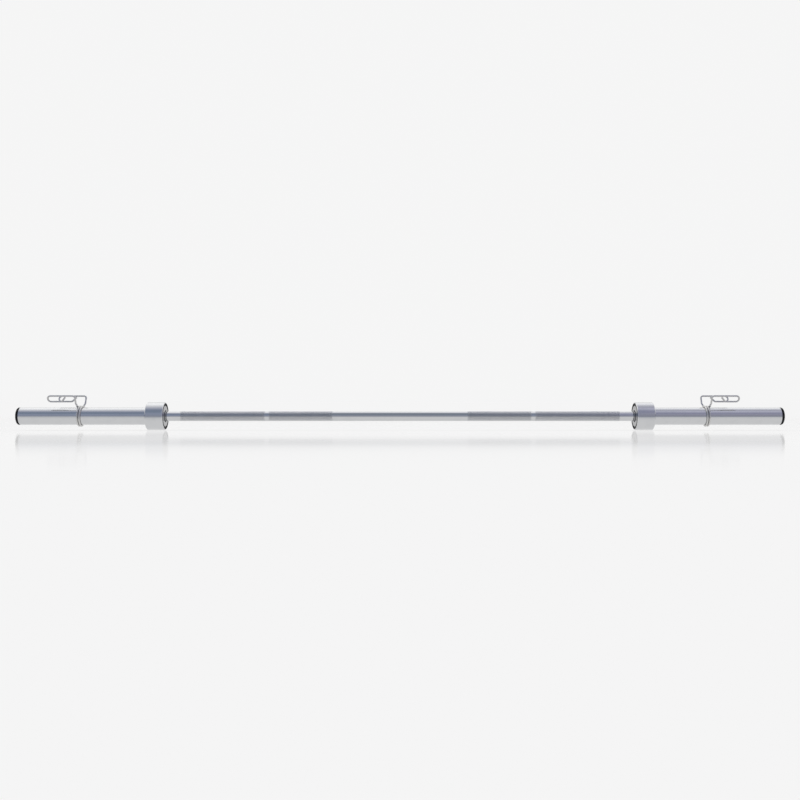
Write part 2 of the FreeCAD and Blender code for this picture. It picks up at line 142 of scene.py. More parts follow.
class Graph:
    """Adds nodes to one shader tree and wires them.

    A Mix node has sockets for numbers, vectors and colours under the same names, so those for
    colours go by their number.
    """

    MIX_COLOURS = (6, 7)
    MIX_RESULT = 2

    def __init__(self, tree: ShaderNodeTree) -> None:
        """Takes the tree to work on."""
        self.tree = tree

    @classmethod
    def start(cls, owner: Material | World) -> "Graph":
        """Empties the shader tree of a material or a world.

        Args:
            owner: the material or the world.

        Returns:
            The graph of its tree.
        """
        owner.use_nodes = True
        owner.node_tree.nodes.clear()
        return cls(owner.node_tree)

    def add(self, kind: str, **settings: object) -> Node:
        """Adds a node.

        Args:
            kind: type of the node.
            settings: properties of the node, by name.

        Returns:
            The new node.
        """
        node = self.tree.nodes.new(kind)
        for name, value in settings.items():
            setattr(node, name, value)
        return node

    def feed(self, socket: NodeSocket, value: Value) -> None:
        """Links an input to an output, or writes a plain value into it.

        Args:
            socket: the input.
            value: an output, a number, a vector, or a colour, which becomes opaque.
        """
        if isinstance(value, NodeSocket):
            self.tree.links.new(value, socket)
        elif socket.type == "RGBA":
            socket.default_value = (*value, 1.0)
        else:
            socket.default_value = value

    def _pair(self, kind: str, operation: str, first: Value, second: Value) -> NodeSocket:
        """Works out one value from two.

        Args:
            kind: type of the node that does it.
            operation: what the node does with them.
            first: first value.
            second: second value.

        Returns:
            The result.
        """
        node = self.add(kind, operation=operation)
        self.feed(node.inputs[0], first)
        self.feed(node.inputs[1], second)
        return node.outputs[0]

    def math(self, operation: str, first: Value, second: Value = 0.0) -> NodeSocket:
        """Works out one number from two."""
        return self._pair("ShaderNodeMath", operation, first, second)

    def vector(self, operation: str, first: Value, second: Value) -> NodeSocket:
        """Works out one vector from two."""
        return self._pair("ShaderNodeVectorMath", operation, first, second)

    def distance(self, first: Value, second: Value) -> NodeSocket:
        """Works out how far two steps lead that are square to each other."""
        squares = [self.math("MULTIPLY", step, step) for step in (first, second)]
        return self.math("SQRT", self.math("ADD", *squares))

    def split(self, vector: Value) -> Sockets:
        """Takes a vector apart.

        Args:
            vector: the vector.

        Returns:
            Its X, Y and Z, by name.
        """
        node = self.add("ShaderNodeSeparateXYZ")
        self.feed(node.inputs[0], vector)
        return node.outputs

    def ease(self, value: Value, low: float, high: float) -> NodeSocket:
        """Makes a smooth step.

        Args:
            value: what the step depends on.
            low: the value up to which it is 0.
            high: the value from which it is 1.

        Returns:
            The step.
        """
        node = self.add("ShaderNodeMapRange", interpolation_type="SMOOTHSTEP")
        self.feed(node.inputs["Value"], value)
        self.feed(node.inputs["From Min"], low)
        self.feed(node.inputs["From Max"], high)
        return node.outputs["Result"]

    def noise(self, place: Value, density: Value, detail: float, rough: float = 0.5) -> NodeSocket:
        """Makes smooth noise from 0 to 1.

        Args:
            place: where it is read.
            density: lumps per unit of place.
            detail: number of finer layers.
            rough: how much each finer layer counts.

        Returns:
            The noise.
        """
        node = self.add("ShaderNodeTexNoise")
        self.feed(node.inputs["Vector"], place)
        self.feed(node.inputs["Scale"], density)
        self.feed(node.inputs["Detail"], detail)
        self.feed(node.inputs["Roughness"], rough)
        return node.outputs["Fac"]

    def tint(self, share: Value, first: Value, second: Value) -> NodeSocket:
        """Mixes two colours.

        Args:
            share: how much there is of the second, from 0 to 1.
            first: first colour.
            second: second colour.

        Returns:
            The mixed colour.
        """
        node = self.add("ShaderNodeMix", data_type="RGBA")
        self.feed(node.inputs[0], share)
        for index, colour in zip(self.MIX_COLOURS, (first, second)):
            self.feed(node.inputs[index], colour)
        return node.outputs[self.MIX_RESULT]

    def shader(self, kind: str, colour: Value) -> Node:
        """Adds a shader.

        Args:
            kind: type of its node.
            colour: its colour.

        Returns:
            The shader.
        """
        node = self.add(kind)
        self.feed(node.inputs["Color"], colour)
        return node

    def mix(self, share: Value, first: Node, second: Node) -> Node:
        """Mixes two shaders.

        Args:
            share: how much there is of the second, from 0 to 1.
            first: first shader.
            second: second shader.

        Returns:
            The mixed shader.
        """
        node = self.add("ShaderNodeMixShader")
        self.feed(node.inputs[0], share)
        self.feed(node.inputs[1], first.outputs[0])
        self.feed(node.inputs[2], second.outputs[0])
        return node

    def put_out(self, kind: str, shader: Node) -> None:
        """Ends the tree in an output node of a kind, which takes the shader."""
        self.feed(self.add(kind).inputs["Surface"], shader.outputs[0])


class Effects:
    """Surface effects that several finishes share, each a node group that is built once.

    A density is a count per metre, and the stretch draws lumps out into lines along the bar. An edge
    is the pair of noise levels between which a mark comes in.
    """

    ROUND_DENSITY = 40.0
    SMUDGE_EDGE = (0.42, 0.72)
    SCRATCH_STRETCH = (0.012, 1.0, 1.0)
    SCRATCH_EDGE = (0.64, 0.74)
    PATCH_DENSITY = 23.0
    PATCH_EDGE = (0.45, 0.62)

    def __init__(self) -> None:
        """Builds the groups."""
        self.from_axis = self._from_axis()
        self.turned_marks = self._turned_marks()
        self.smudges = self._smudges()
        self.scratches = self._scratches()
        self.fine_grain = self._fine_grain()

    @staticmethod
    def _open(name: str, numbers: tuple[str, ...],
              outputs: tuple[str, ...]) -> tuple[Graph, Sockets, Sockets]:
        """Starts a group that reads a place and some numbers.

        Args:
            name: name of the group.
            numbers: names of its inputs besides the place.
            outputs: names of its outputs.

        Returns:
            Its graph, and its inner sockets by name: what it reads, and what it puts out.
        """
        tree = bpy.data.node_groups.new(name, "ShaderNodeTree")
        tree.interface.new_socket("Place", in_out="INPUT", socket_type="NodeSocketVector")
        for label in numbers:
            tree.interface.new_socket(label, in_out="INPUT", socket_type="NodeSocketFloat")
        for label in outputs:
            tree.interface.new_socket(label, in_out="OUTPUT", socket_type="NodeSocketFloat")
        graph = Graph(tree)
        reads = graph.add("NodeGroupInput").outputs
        puts = graph.add("NodeGroupOutput").inputs
        return graph, reads, puts

    @staticmethod
    def insert(graph: Graph, group: ShaderNodeTree, place: Value, **numbers: Value) -> Sockets:
        """Puts a group into another tree.

        Args:
            graph: the graph of that tree.
            group: one of this object's groups.
            place: coordinates that the group reads.
            numbers: its other inputs, by name.

        Returns:
            The group's outputs, by name.
        """
        node = graph.add("ShaderNodeGroup", node_tree=group)
        graph.feed(node.inputs["Place"], place)
        for name, value in numbers.items():
            graph.feed(node.inputs[name], value)
        return node.outputs

    def _from_axis(self) -> ShaderNodeTree:
        """Works out the distance from the bar's axis, and the way along a turned profile.

        Returns:
            The group.
        """
        graph, reads, puts = self._open("from_axis", (), ("Radius", "Profile"))
        parts = graph.split(graph.vector("SUBTRACT", reads["Place"], tuple(AXIS)))
        radius = graph.distance(parts["Y"], parts["Z"])
        graph.feed(puts["Radius"], radius)
        graph.feed(puts["Profile"], graph.math("ADD", parts["X"], radius))
        return graph.tree

    def _turned_marks(self) -> ShaderNodeTree:
        """Draws fine rings that a lathe or a grinding belt leaves, on round walls and on end faces.

        Returns:
            The group.
        """
        graph, reads, puts = self._open("turned_marks", ("Density",), ("Height",))
        profile = self.insert(graph, self.from_axis, reads["Place"])["Profile"]
        parts = graph.split(reads["Place"])
        joined = graph.add("ShaderNodeCombineXYZ")
        graph.feed(joined.inputs["X"], graph.math("MULTIPLY", profile, reads["Density"]))
        for name in ("Y", "Z"):
            graph.feed(joined.inputs[name], graph.math("MULTIPLY", parts[name], self.ROUND_DENSITY))
        graph.feed(puts["Height"], graph.noise(joined.outputs[0], density=1.0, detail=3.0, rough=0.6))
        return graph.tree

    def _smudges(self) -> ShaderNodeTree:
        """Draws cloudy patches of handling, with clear metal between them.

        Returns:
            The group.
        """
        graph, reads, puts = self._open("smudges", ("Density",), ("Mask",))
        clouds = graph.noise(reads["Place"], reads["Density"], detail=5.0, rough=0.62)
        graph.feed(puts["Mask"], graph.ease(clouds, *self.SMUDGE_EDGE))
        return graph.tree

    def _scratches(self) -> ShaderNodeTree:
        """Draws thin broken lines along the bar, where plates and clips slide.

        Returns:
            The group.
        """
        graph, reads, puts = self._open("scratches", ("Density",), ("Mask",))
        drawn = graph.vector("MULTIPLY", reads["Place"], self.SCRATCH_STRETCH)
        lines = graph.noise(drawn, reads["Density"], detail=2.0)
        patches = graph.noise(reads["Place"], self.PATCH_DENSITY, detail=3.0)
        thin = graph.ease(lines, *self.SCRATCH_EDGE)
        graph.feed(puts["Mask"], graph.math("MULTIPLY", thin, graph.ease(patches, *self.PATCH_EDGE)))
        return graph.tree

    def _fine_grain(self) -> ShaderNodeTree:
        """Draws an even fine grain, as on moulded and plated surfaces.

        Returns:
            The group.
        """
        graph, reads, puts = self._open("fine_grain", ("Density",), ("Height",))
        graph.feed(puts["Height"], graph.noise(reads["Place"], reads["Density"], detail=4.0, rough=0.55))
        return graph.tree


@dataclass(frozen=True)
class Coat:
    """A material in the making: its graph and shader, the place that it reads, and the shared groups."""

    graph: Graph
    shader: Node
    place: NodeSocket
    effects: Effects

    def read(self, group: ShaderNodeTree, **numbers: Value) -> Sockets:
        """Puts a shared group into the material and returns its outputs, by name."""
        return self.effects.insert(self.graph, group, self.place, **numbers)

    def give(self, name: str, value: Value) -> None:
        """Feeds an input of the shader."""
        self.graph.feed(self.shader.inputs[name], value)

    def roughen(self, plain: float, *marks: tuple[Value, float]) -> None:
        """Adds the roughness of marks to the plain one.

        Args:
            plain: the roughness without them.
            marks: masks, each with the roughness that it adds.
        """
        total: Value = plain
        for mask, added in marks:
            total = self.graph.math("ADD", total, self.graph.math("MULTIPLY", mask, added))
        self.give("Roughness", total)

    def emboss(self, height: Value, depth: float) -> None:
        """Turns a height from 0 to 1 into relief.

        Args:
            height: the height over the surface.
            depth: depth of the relief.
        """
        bump = self.graph.add("ShaderNodeBump")
        self.graph.feed(bump.inputs["Distance"], depth)
        self.graph.feed(bump.inputs["Height"], height)
        self.give("Normal", bump.outputs[0])


@dataclass(frozen=True)
class Finish:
    """A surface finish: its colour, how rough it is and how metallic.

    In each kind of finish a density is a count per metre, and the roughness of a mark is what it
    adds to the plain one.
    """

    name: str
    colour: Colour
    roughness: float
    metallic: float = 1.0
    specular: float = 0.5

    def material(self, effects: Effects) -> Material:
        """Makes the material of this finish.

        Args:
            effects: the shared node groups.

        Returns:
            The material.
        """
        made = bpy.data.materials.new(self.name)
        made.diffuse_color = (*self.colour, 1.0)
        graph = Graph.start(made)
        shader = graph.add("ShaderNodeBsdfPrincipled")
        coat = Coat(graph, shader, graph.add("ShaderNodeTexCoord").outputs["Object"], effects)
        coat.give("Metallic", self.metallic)
        coat.give("Specular IOR Level", self.specular)
        self.paint(coat)
        graph.put_out("ShaderNodeOutputMaterial", shader)
        return made

    def paint(self, coat: Coat) -> None:
        """Wires what varies over the surface; each kind of finish has its own way."""
        raise NotImplementedError


@dataclass(frozen=True)
class ChromeFinish(Finish):
    """Bright plating on turned steel, with faint handling marks."""

    haze_colour: Colour = (0.545, 0.55, 0.56)
    line_density: float = 2600.0
    line_depth: float = 2e-6
    line_roughness: float = 0.04
    smudge_density: float = 38.0
    smudge_roughness: float = 0.06
    scratch_density: float = 1500.0
    scratch_roughness: float = 0.12

    def paint(self, coat: Coat) -> None:
        """Wires turned lines, smudges and scratches.

        Args:
            coat: the material in the making.
        """
        lines = coat.read(coat.effects.turned_marks, Density=self.line_density)["Height"]
        smudge = coat.read(coat.effects.smudges, Density=self.smudge_density)["Mask"]
        scratch = coat.read(coat.effects.scratches, Density=self.scratch_density)["Mask"]
        dulled = coat.graph.math("MAXIMUM", smudge, scratch)
        coat.give("Base Color", coat.graph.tint(dulled, self.colour, self.haze_colour))
        coat.roughen(self.roughness, (lines, self.line_roughness), (smudge, self.smudge_roughness),
                     (scratch, self.scratch_roughness))
        coat.emboss(lines, self.line_depth)


@dataclass(frozen=True)
class CollarFinish(ChromeFinish):
    """The same plating; the groove in the face towards the grip is painted near black as painted shade,
    and the face is duller inside it.

    The face is what lies nearer to the middle of the bar than face_limit.
    """

    inner_colour: Colour = (0.31, 0.31, 0.315)
    # Painted shade: the groove's recess gets a near-black, non-metal colour that stands in for the shade
    # that falls there.
    groove_colour: Colour = (0.018, 0.018, 0.019)
    shaded_groove_inside: float = 0.0304
    shaded_groove_outside: float = 0.0372
    shaded_groove_edge: float = 0.0003
    groove_roughness: float = 0.5
    face_limit: float = 0.7

    def paint(self, coat: Coat) -> None:
        """Wires the plating, the inner part of the face, and the painted shade of the groove over it.

        Args:
            coat: the material in the making.
        """
        super().paint(coat)
        inner, groove = self._face_and_groove_shade_masks(coat)
        inputs = coat.shader.inputs
        plated = {name: inputs[name].links[0].from_socket for name in ("Base Color", "Roughness")}
        colour = coat.graph.tint(inner, plated["Base Color"], self.inner_colour)
        # The groove is painted near black and not metallic: painted shade in the recess.
        coat.give("Base Color", coat.graph.tint(groove, colour, self.groove_colour))
        dull = coat.graph.math("MULTIPLY", groove, self.groove_roughness)
        coat.give("Roughness", coat.graph.math("ADD", plated["Roughness"], dull))
        coat.give("Metallic", coat.graph.math("SUBTRACT", 1.0, groove))

    def _face_and_groove_shade_masks(self, coat: Coat) -> tuple[NodeSocket, NodeSocket]:
        """Masks two parts of the face.

        Args:
            coat: the material in the making.

        Returns:
            A mask of what lies inside the groove's ring, and one of the groove, where shade is painted.
        """
        graph = coat.graph
        radius = coat.read(coat.effects.from_axis)["Radius"]
        from_middle = graph.math("ABSOLUTE", graph.split(coat.place)["X"])
        on_face = graph.math("LESS_THAN", from_middle, self.face_limit)
        begun = graph.ease(radius, self.shaded_groove_inside - self.shaded_groove_edge, self.shaded_groove_inside)
        ended = graph.ease(radius, self.shaded_groove_outside, self.shaded_groove_outside + self.shaded_groove_edge)
        inside = graph.math("SUBTRACT", 1.0, begun)
        ring = graph.math("SUBTRACT", begun, ended)
        return graph.math("MULTIPLY", inside, on_face), graph.math("MULTIPLY", ring, on_face)


@dataclass(frozen=True)
class KnurlFinish(Finish):
    """Plated knurling: bright lands, darker and duller grooves."""

    groove_colour: Colour = (0.32, 0.325, 0.34)
    groove_radius: float = KNURL_GROOVE_RADIUS
    groove_roughness: float = 0.2
    land_radius: float = 0.01398
    grain_density: float = 2400.0
    grain_depth: float = 6e-6
    grain_roughness: float = 0.06
    smudge_density: float = 30.0
    smudge_roughness: float = 0.05

    def paint(self, coat: Coat) -> None:
        """Wires the lands and grooves by their distance from the axis.

        Args:
            coat: the material in the making.
        """
        radius = coat.read(coat.effects.from_axis)["Radius"]
        land = coat.graph.ease(radius, self.groove_radius, self.land_radius)
        groove = coat.graph.math("SUBTRACT", 1.0, land)
        grain = coat.read(coat.effects.fine_grain, Density=self.grain_density)["Height"]
        smudge = coat.read(coat.effects.smudges, Density=self.smudge_density)["Mask"]
        coat.give("Base Color", coat.graph.tint(groove, self.colour, self.groove_colour))
        coat.roughen(self.roughness, (groove, self.groove_roughness), (grain, self.grain_roughness),
                     (smudge, self.smudge_roughness))
        coat.emboss(grain, self.grain_depth)


@dataclass(frozen=True)
class WireFinish(Finish):
    """Bright zinc on drawn wire."""

    dull_colour: Colour = (0.48, 0.476, 0.468)
    spangle_density: float = 420.0
    spangle_roughness: float = 0.1
    grain_density: float = 2600.0
    grain_depth: float = 8e-6
    grain_roughness: float = 0.08
    scratch_density: float = 1800.0
    scratch_roughness: float = 0.15

    def paint(self, coat: Coat) -> None:
        """Wires the mottle of the zinc, its fine grain and scratches.

        Args:
            coat: the material in the making.
        """
        spangle = coat.read(coat.effects.smudges, Density=self.spangle_density)["Mask"]
        grain = coat.read(coat.effects.fine_grain, Density=self.grain_density)["Height"]
        scratch = coat.read(coat.effects.scratches, Density=self.scratch_density)["Mask"]
        coat.give("Base Color", coat.graph.tint(spangle, self.colour, self.dull_colour))
        coat.roughen(self.roughness, (spangle, self.spangle_roughness), (grain, self.grain_roughness),
                     (scratch, self.scratch_roughness))
        coat.emboss(grain, self.grain_depth)


@dataclass(frozen=True, kw_only=True)
class MachinedFinish(Finish):
    """Bare machined metal with tool marks and a film of oil."""

    oiled_colour: Colour
    line_density: float = 1800.0
    line_depth: float = 8e-6
    line_roughness: float = 0.15
    stain_density: float = 130.0
    stain_roughness: float = -0.1

    def paint(self, coat: Coat) -> None:
        """Wires tool marks and oil stains.

        Args:
            coat: the material in the making.
        """
        lines = coat.read(coat.effects.turned_marks, Density=self.line_density)["Height"]
        stain = coat.read(coat.effects.smudges, Density=self.stain_density)["Mask"]
        coat.give("Base Color", coat.graph.tint(stain, self.colour, self.oiled_colour))
        coat.roughen(self.roughness, (lines, self.line_roughness), (stain, self.stain_roughness))
        coat.emboss(lines, self.line_depth)


@dataclass(frozen=True)
class MouldedFinish(Finish):
    """Moulded plastic or rubber with a grained skin and pale scuffs."""

    metallic: float = 0.0
    specular: float = 0.15
    grain_density: float = 1500.0
    grain_depth: float = 3e-5
    grain_roughness: float = 0.12
    scuff_colour: Colour = (0.02, 0.02, 0.022)
    scuff_density: float = 90.0
    scuff_roughness: float = 0.1

    def paint(self, coat: Coat) -> None:
        """Wires the grain and the scuffs.

        Args:
            coat: the material in the making.
        """
        grain = coat.read(coat.effects.fine_grain, Density=self.grain_density)["Height"]
        scuff = coat.read(coat.effects.smudges, Density=self.scuff_density)["Mask"]
        fine = coat.graph.math("MULTIPLY", scuff, grain)
        coat.give("Base Color", coat.graph.tint(fine, self.colour, self.scuff_colour))
        coat.roughen(self.roughness, (grain, self.grain_roughness), (scuff, self.scuff_roughness))
        coat.emboss(grain, self.grain_depth)


class Palette:
    """The materials of the bar, by what they are for."""

    def __init__(self) -> None:
        """Makes every material once."""
        effects = Effects()
        sleeve = ChromeFinish("sleeve_chrome", (0.565, 0.57, 0.58), roughness=0.12)
        collar = CollarFinish("collar_chrome", sleeve.colour, sleeve.roughness)
        knurl = KnurlFinish("knurled_chrome", (0.55, 0.555, 0.565), roughness=0.18)
        finishes: dict[Slot, Finish] = {
            Slot.SHAFT_CHROME: ChromeFinish("shaft_chrome", (0.56, 0.565, 0.575), roughness=0.1),
            Slot.SLEEVE_CHROME: sleeve,
            Slot.BRONZE: MachinedFinish("oiled_bronze", (0.52, 0.34, 0.16), roughness=0.34,
                                        oiled_colour=(0.3, 0.18, 0.08)),
            Slot.STEEL: MachinedFinish("oiled_steel", (0.3, 0.3, 0.31), roughness=0.38,
                                       oiled_colour=(0.14, 0.14, 0.15)),
            Slot.SPRING_WIRE: WireFinish("zinc_wire", (0.56, 0.555, 0.546), roughness=0.3),
            Slot.RUBBER: MouldedFinish("seal_rubber", (0.13, 0.13, 0.132), roughness=0.6,
                                       scuff_colour=(0.17, 0.17, 0.172),
                                       grain_density=2200.0, grain_depth=2e-5),
            Slot.BLACK_PLASTIC: MouldedFinish("cap_plastic", (0.005, 0.005, 0.006), roughness=0.45),
        }
        self.slots = {slot: finish.material(effects) for slot, finish in finishes.items()}
        self.collar = collar.material(effects)
        self.knurl = knurl.material(effects)


def dress(node: str, material: Material) -> None:
    """Gives a node of the frame its material.

    Args:
        node: name of the node.
        material: the material that all of it gets.
    """
    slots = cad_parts[node].data.materials
    slots.clear()
    slots.append(material)
    LOG.info("dressed %s in %s", node, material.name)


def as_piece(bm: BMesh, name: str, material: Material, sharp_angle: float) -> Object:
    """Makes an object of a finished mesh.

    Args:
        bm: the mesh, which is freed.
        name: name of the piece.
        material: its material.
        sharp_angle: edges that turn by more than this stay sharp.

    Returns:
        The new object, at the origin.
    """
    bmesh.ops.recalc_face_normals(bm, faces=bm.faces)
    mesh = bpy.data.meshes.new(name)
    bm.to_mesh(mesh)
    bm.free()
    mesh.shade_smooth()
    mesh.set_sharp_from_angle(angle=sharp_angle)
    mesh.materials.append(material)
    piece = bpy.data.objects.new(name, mesh)
    bpy.context.scene.collection.objects.link(piece)
    LOG.info("built %s with %d faces", name, len(mesh.polygons))
    return piece


@dataclass
class KnurledShaft:
    """The solid bar with its four knurled bands and the small rings at its ends.

    From the collar towards the middle, each half has a bare margin, the outer band, a smooth ring
    mark and the inner band.
    """

    palette: Palette
    collar_margin: float = 0.0443
    outer_length: float = 0.2418
    ring_mark: float = 0.0124
    inner_length: float = 0.1818
    end_gap: float = 0.0003
    diamonds_round: int = 56
    diamond_length: float = 0.0022
    groove_radius: float = KNURL_GROOVE_RADIUS
    groove_half_width: float = 0.00017
    diamond_height: float = 0.00022
    skirt_radius: float = 0.0134
    weld_distance: float = 3e-5
    facet_angle: float = math.radians(15)
    end_rings: tuple[str, ...] = ("inner_thrust_washer", "outer_thrust_washer", "snap_ring")

    def build(self) -> None:
        """Builds the bands and dresses the shaft and what is fixed to it."""
        dress("shaft", self.palette.slots[Slot.SHAFT_CHROME])
        for side in Side:
            for ring in self.end_rings:
                dress(side.node(ring), self.palette.slots[Slot.STEEL])
        outer_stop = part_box(Side.RIGHT.node("collar"))[0].x - self.collar_margin
        outer_start = outer_stop - self.outer_length
        inner_stop = outer_start - self.ring_mark
        inner_start = inner_stop - self.inner_length
        self.knurl("outer_knurl", outer_start, outer_stop)
        self.knurl("inner_knurl", inner_start, inner_stop)

    def knurl(self, name: str, start: float, stop: float) -> None:
        """Builds a knurled band on each half of the bar, as a closed skin round the shaft.

        Args:
            name: what the band is called on its side.
            start: where it begins, from the middle of the bar.
            stop: where it ends.
        """
        length = stop - start - 2 * self.end_gap
        rows = round(length / self.diamond_length)
        # A second set of rows fills the gaps of the first, half a pitch further on.
        pitch = length / (rows + 0.5)
        right = bmesh.new()
        self._cut_diamond(right, start + self.end_gap + pitch / 2, pitch)
        self._repeat(right, self.diamonds_round - 1, math.tau / self.diamonds_round, 0.0)
        self._repeat(right, 1, math.pi / self.diamonds_round, pitch / 2)
        self._repeat(right, rows - 1, 0.0, pitch)
        bmesh.ops.remove_doubles(right, verts=right.verts, dist=self.weld_distance)
        self._close_inside(right)
        left = right.copy()
        bmesh.ops.translate(left, vec=-ALONG_BAR * (start + stop), verts=left.verts)
        for side, bm in ((Side.LEFT, left), (Side.RIGHT, right)):
            piece = as_piece(bm, side.node(name), self.palette.knurl, self.facet_angle)
            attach(piece, "shaft")

    def _cut_diamond(self, bm: BMesh, centre: float, length: float) -> None:
        """Makes one diamond with sloping sides on top of the shaft.

        Args:
            bm: the empty mesh.
            centre: its place along the bar.
            length: its length along the bar.
        """
        width = 2 * self.groove_radius * math.tan(math.pi / self.diamonds_round)
        # A circle of four segments is a diamond, here 1 long and 1 wide before it is scaled.
        bmesh.ops.create_circle(bm, cap_ends=True, segments=4, radius=0.5)
        bmesh.ops.scale(bm, vec=(length, width, 1.0), verts=bm.verts)
        land = bm.faces[:]
        bmesh.ops.inset_individual(bm, faces=land, thickness=self.groove_half_width, use_even_offset=True)
        bmesh.ops.translate(bm, vec=UP * self.diamond_height, verts=land[0].verts)
        seat = Vector((centre, AXIS.y, AXIS.z + self.groove_radius))
        bmesh.ops.translate(bm, vec=seat, verts=bm.verts)

    @staticmethod
    def _repeat(bm: BMesh, copies: int, turn: float, shift: float) -> None:
        """Copies all that is there, each copy turned about the bar and moved along it.

        Args:
            bm: the mesh.
            copies: number of copies.
            turn: angle from each copy to the next.
            shift: step from each copy to the next.
        """
        whole = bm.verts[:] + bm.edges[:] + bm.faces[:]
        bmesh.ops.spin(bm, geom=whole, cent=AXIS, axis=ALONG_BAR, dvec=ALONG_BAR * shift,
                       angle=turn * copies, steps=copies, use_duplicate=True)

    def _close_inside(self, bm: BMesh) -> None:
        """Draws both open ends into the shaft and joins them by an inner wall.

        Args:
            bm: the mesh of a band.
        """
        open_ends = [edge for edge in bm.edges if edge.is_boundary]
        drawn = bmesh.ops.extrude_edge_only(bm, edges=open_ends)["geom"]
        rims = [item for item in drawn if isinstance(item, BMVert)]
        shrink = self.skirt_radius / self.groove_radius
        bmesh.ops.scale(bm, vec=(1.0, shrink, shrink), verts=rims, space=Matrix.Translation(-AXIS))
        inner = [edge for edge in bm.edges if edge.is_boundary]
        bmesh.ops.bridge_loops(bm, edges=inner)


@dataclass
class RotatingSleeve:
    """One end of the bar: sleeve, collar, bushes, seal and end cap, which turn together."""

    side: Side
    palette: Palette
    bearings: tuple[str, ...] = ("inner_bush", "outer_bush")

    def build(self) -> None:
        """Dresses the pieces of this end."""
        slots = self.palette.slots
        dress(self.side.node("sleeve"), slots[Slot.SLEEVE_CHROME])
        dress(self.side.node("collar"), self.palette.collar)
        for bush in self.bearings:
            dress(self.side.node(bush), slots[Slot.BRONZE])
        dress(self.side.node("dust_seal"), slots[Slot.RUBBER])
        dress(self.side.node("end_cap"), slots[Slot.BLACK_PLASTIC])


class WireBender:
    """Feeds a round wire forward and bends it, and keeps the place and heading of its end."""

    SIDES = 20
    TURN_STEP = math.radians(6)
    FEED_STEP = 0.008
    ROUNDING_STEPS = 3

    def __init__(self, radius: float, place: Vector, heading: Vector) -> None:
        """Starts a wire.

        Args:
            radius: half the wire's diameter.
            place: centre of its first end.
            heading: the way it goes.
        """
        self.bm = bmesh.new()
        self.place = place.copy()
        self.heading = heading.normalized()
        facing = self.heading.to_track_quat("Z", "Y").to_matrix().to_4x4()
        bmesh.ops.create_circle(self.bm, cap_ends=True, segments=self.SIDES, radius=radius,
                                matrix=Matrix.Translation(place) @ facing)
        self.rim = self.bm.verts[:] + self.bm.edges[:]

    def _draw(self, centre: Vector, axis: Vector, angle: float, shift: Vector, steps: int) -> None:
        """Draws the open end round an axis and along a shift.

        Args:
            centre: a point of the axis.
            axis: the way of the axis.
            angle: how far it turns in all.
            shift: how far it moves in all.
            steps: number of equal steps.
        """
        drawn = bmesh.ops.spin(self.bm, geom=self.rim, cent=centre, axis=axis, dvec=shift / steps,
                               angle=angle, steps=steps)
        self.rim = drawn["geom_last"]

    def feed(self, length: float) -> None:
        """Goes straight on.

        Args:
            length: how far.
        """
        shift = self.heading * length
        self._draw(self.place, self.heading, 0.0, shift, math.ceil(length / self.FEED_STEP))
        self.place += shift

    def bend(self, radius: float, angle: float, towards: Vector, shift: Vector = NO_SHIFT) -> None:
        """Bends the wire.

        Args:
            radius: radius of the bend at the middle of the wire.
            angle: how far it turns.
            towards: unit vector from the wire's end to the middle of the bend.
            shift: how far a winding advances along its axis meanwhile.
        """
        centre = self.place + towards * radius
        axis = self.heading.cross(towards)
        self._draw(centre, axis, angle, shift, math.ceil(angle / self.TURN_STEP))
        turn = Matrix.Rotation(angle, 3, axis)
        self.place = centre + turn @ (self.place - centre) + shift
        self.heading = turn @ self.heading

    def cut(self, chamfer: float) -> BMesh:
        """Closes the open end and rounds its edge.

        Args:
            chamfer: width of the rounding.

        Returns:
            The finished wire.
        """
        edge = [item for item in self.rim if isinstance(item, BMEdge)]
        bmesh.ops.edgeloop_fill(self.bm, edges=edge)
        bmesh.ops.bevel(self.bm, geom=edge, offset=chamfer, segments=self.ROUNDING_STEPS, profile=0.5,
                        affect="EDGES", material=-1)
        return self.bm


